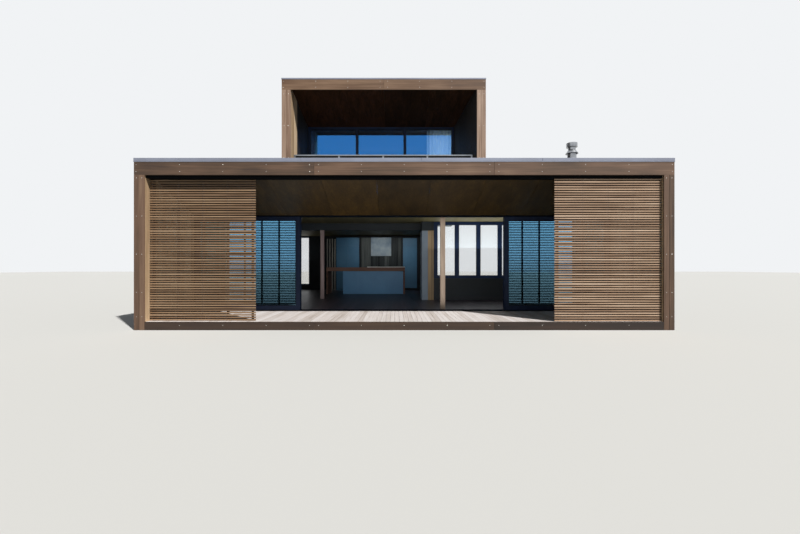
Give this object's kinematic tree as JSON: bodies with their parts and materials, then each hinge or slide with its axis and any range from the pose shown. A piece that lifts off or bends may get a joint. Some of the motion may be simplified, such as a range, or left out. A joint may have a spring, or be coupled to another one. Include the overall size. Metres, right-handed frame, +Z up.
{
  "type": "beach house",
  "caption": "Flat-roofed timber beach house: wide framed verandah with sliding slatted screens and glass doors, a kitchen wing behind, and a framed upper storey set back on the roof.",
  "frame": {"origin": "centre of the bounding box at ground level", "axes": "+X to the right seen from the front, +Y from the front into the house, +Z up; the front boards face -Y"},
  "size_m": [10.812, 11.162, 5.755],
  "materials": {
    "concrete": "power-floated concrete under dark boards",
    "framing_timber": "sawn, dark stained",
    "deck_timber": "weathered pale boards",
    "edge_timber": "oiled boards with screw heads",
    "cladding_timber": "dark stained vertical boards",
    "front_timber": "weathered brown-grey boards",
    "slat_timber": "oiled slats",
    "soffit_timber": "dark stained ply lining",
    "inner_lining": "painted board",
    "dark_aluminium": "powder coated, satin",
    "clear_glass": "clear double glazing",
    "cap_metal": "pale coated sheet",
    "roof_membrane": "grey sheet",
    "track_steel": "dark coated steel",
    "post_timber": "planed and oiled",
    "red_timber": "planed, reddish",
    "island_timber": "oiled solid timber",
    "cupboard_paint": "blue-grey satin paint",
    "sheer_cloth": "pale sheer curtain",
    "rail_metal": "satin anodised",
    "flue_steel": "brushed stainless"
  },
  "bodies": {
    "root": {"ground_slab": "concrete", "deck_joists": "framing_timber", "deck": "deck_timber", "front_plinth": "edge_timber", "left_wall": "cladding_timber", "right_wall": "cladding_timber", "back_wall": "cladding_timber", "wing_wall": "cladding_timber", "dining_wall": "cladding_timber", "wall_nib": "inner_lining", "window_frames": "dark_aluminium", "window_glass": "clear_glass", "pillar_boards": "front_timber", "fascia_boards": "front_timber", "fascia_beam": "framing_timber", "roof_cap": "cap_metal", "roof_deck": "roof_membrane", "verandah_soffit": "soffit_timber", "room_ceiling": "soffit_timber", "door_beam": "framing_timber", "head_track": "track_steel", "door_frame": "dark_aluminium", "fixed_panels": "dark_aluminium", "fixed_glass": "clear_glass", "front_post": "post_timber", "inner_post": "red_timber", "living_beam": "cladding_timber", "kitchen_island": "cupboard_paint", "island_top": "island_timber", "tall_cupboards": "cupboard_paint", "kitchen_lining": "cladding_timber", "kitchen_battens": "post_timber", "upper_floor": "concrete", "upper_left_wall": "cladding_timber", "upper_right_wall": "cladding_timber", "upper_back_wall": "cladding_timber", "upper_boards": "front_timber", "upper_beams": "framing_timber", "upper_cap": "cap_metal", "upper_roof": "roof_membrane", "upper_soffit": "soffit_timber", "upper_ceiling": "inner_lining", "upper_cheek": "cladding_timber", "upper_frames": "dark_aluminium", "upper_glass": "clear_glass", "curtain": "sheer_cloth", "balustrade": "rail_metal", "balustrade_glass": "clear_glass", "flue": "flue_steel"},
    "left_screen": {"left_screen": "slat_timber"},
    "right_screen": {"right_screen": "slat_timber"},
    "left_door": {"left_door": "dark_aluminium", "left_door_glass": "clear_glass"},
    "right_door": {"right_door": "dark_aluminium", "right_door_glass": "clear_glass"}
  },
  "joints": [
    {"name": "left_screen_slide", "type": "slide", "parent": "root", "child": "left_screen", "axis": [1, 0, 0], "range_m": [0, 8.2]},
    {"name": "left_door_slide", "type": "slide", "parent": "root", "child": "left_door", "axis": [1, 0, 0], "range_m": [0, 2.54]},
    {"name": "right_screen_slide", "type": "slide", "parent": "root", "child": "right_screen", "axis": [-1, 0, 0], "range_m": [0, 8.2]},
    {"name": "right_door_slide", "type": "slide", "parent": "root", "child": "right_door", "axis": [-1, 0, 0], "range_m": [0, 2.54]}
  ]
}
